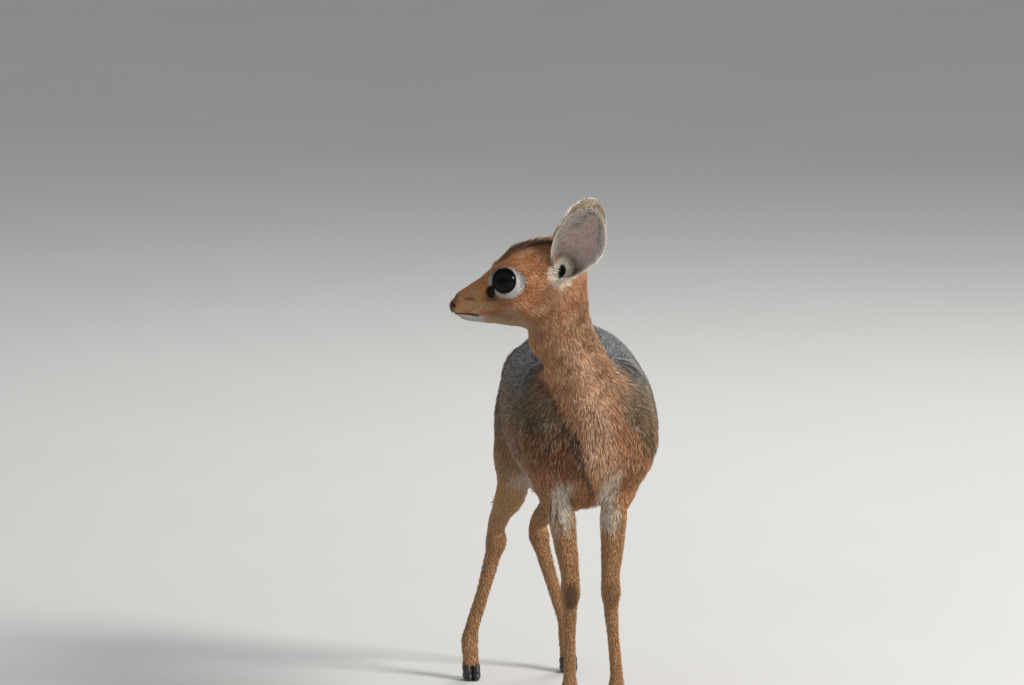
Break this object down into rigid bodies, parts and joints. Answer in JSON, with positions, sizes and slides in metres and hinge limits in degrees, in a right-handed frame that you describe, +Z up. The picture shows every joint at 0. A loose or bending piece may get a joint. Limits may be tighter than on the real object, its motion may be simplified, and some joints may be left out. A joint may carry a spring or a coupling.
{
  "type": "dik-dik",
  "caption": "Life-size model of a hornless female dik-dik, a very small antelope, standing still with its head turned to the side.",
  "frame": {"origin": "middle of the model's bounding box in X and Y, at floor level under the hooves", "axes": "+Z up, -Y ahead of the chest, +X towards the animal's own left side"},
  "size_m": [0.2142, 0.393, 0.504],
  "materials": {
    "coat_rufous": "short orange-brown hair",
    "coat_grizzled": "short grey-brown ticked hair",
    "coat_legs": "very short ochre hair",
    "horn": "dark hoof horn, satin",
    "eye": "wet, dark brown, glossy"
  },
  "bodies": {
    "root": {"torso": "coat_grizzled", "neck": "coat_rufous", "head": "coat_rufous", "tail": "coat_grizzled", "ear_left": "coat_grizzled", "ear_right": "coat_grizzled", "eye_left": "eye", "eye_right": "eye", "foreleg_left_upper": "coat_legs", "foreleg_left_lower": "coat_legs", "foreleg_right_upper": "coat_legs", "foreleg_right_lower": "coat_legs", "hindleg_left_upper": "coat_legs", "hindleg_left_lower": "coat_legs", "hindleg_right_upper": "coat_legs", "hindleg_right_lower": "coat_legs", "hoof_foreleg_left_left": "horn", "hoof_foreleg_left_right": "horn", "hoof_foreleg_right_left": "horn", "hoof_foreleg_right_right": "horn", "hoof_hindleg_left_left": "horn", "hoof_hindleg_left_right": "horn", "hoof_hindleg_right_left": "horn", "hoof_hindleg_right_right": "horn", "dewclaw_foreleg_left_left": "horn", "dewclaw_foreleg_left_right": "horn", "dewclaw_foreleg_right_left": "horn", "dewclaw_foreleg_right_right": "horn", "dewclaw_hindleg_left_left": "horn", "dewclaw_hindleg_left_right": "horn", "dewclaw_hindleg_right_left": "horn", "dewclaw_hindleg_right_right": "horn"}
  },
  "joints": []
}
